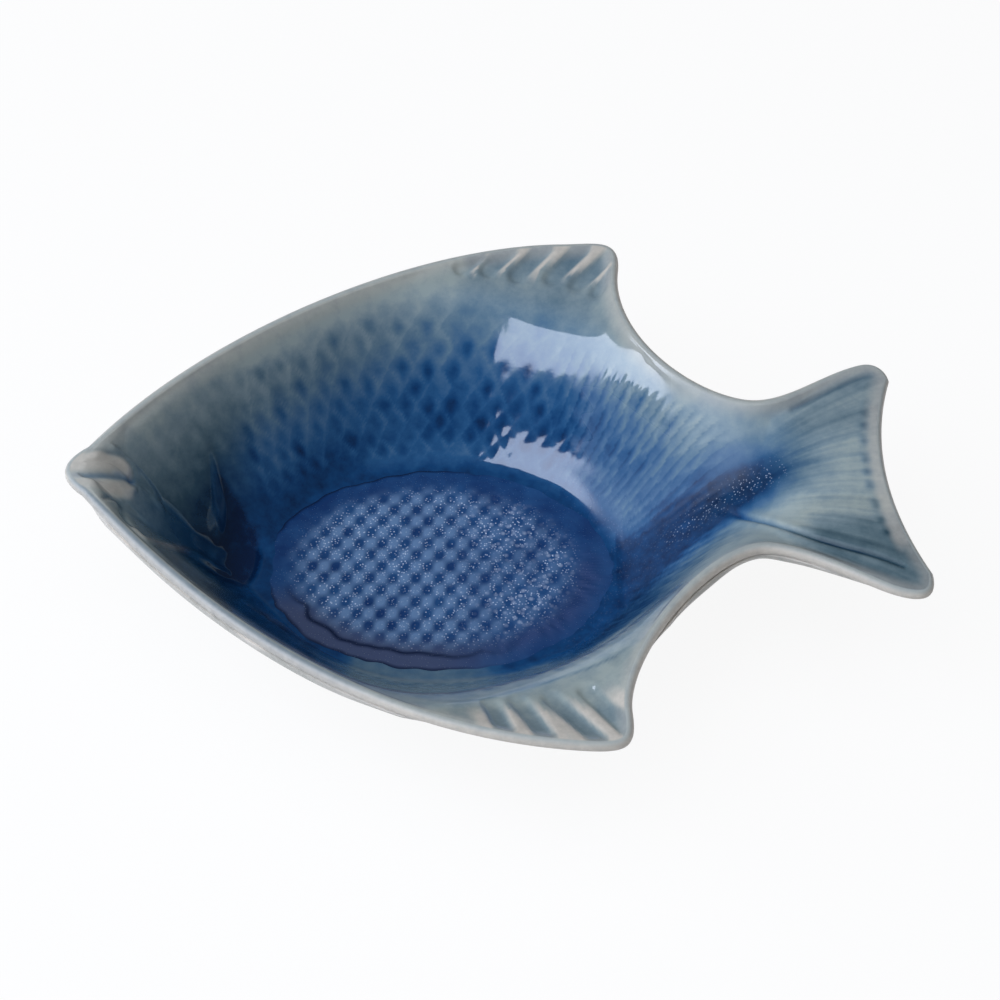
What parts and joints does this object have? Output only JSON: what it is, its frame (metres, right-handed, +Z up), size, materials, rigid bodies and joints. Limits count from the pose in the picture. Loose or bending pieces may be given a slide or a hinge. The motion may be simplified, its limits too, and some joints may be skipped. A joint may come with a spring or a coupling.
{
  "type": "fish-shaped serving dish",
  "caption": "Deep fish-shaped stoneware serving dish with a scale-patterned bowl, ribbed fins, a fanned tail, a rounded lip and a foot ring, coated in blue reactive glaze.",
  "frame": {"origin": "on the table under the middle of the outline's box, at the level of the foot ring", "axes": "+X from the nose to the tail, +Y from the belly fin to the back fin, +Z up out of the bowl"},
  "size_m": [0.2548, 0.204, 0.0524],
  "materials": {
    "stoneware": "bare fired stoneware, matt and slightly sandy",
    "inner_glaze": "glossy reactive glaze, deep blue in hollows, grey-green on slopes, cream where it breaks over edges",
    "outer_glaze": "glossy grey-blue glaze, thinner than inside, cream at the lip",
    "pool_glaze": "glossy pooled blue glass with white crystal flecks"
  },
  "bodies": {
    "root": {"clay_body": "stoneware", "inner_glaze": "inner_glaze", "outer_glaze": "outer_glaze", "glaze_pool": "pool_glaze"}
  },
  "joints": []
}
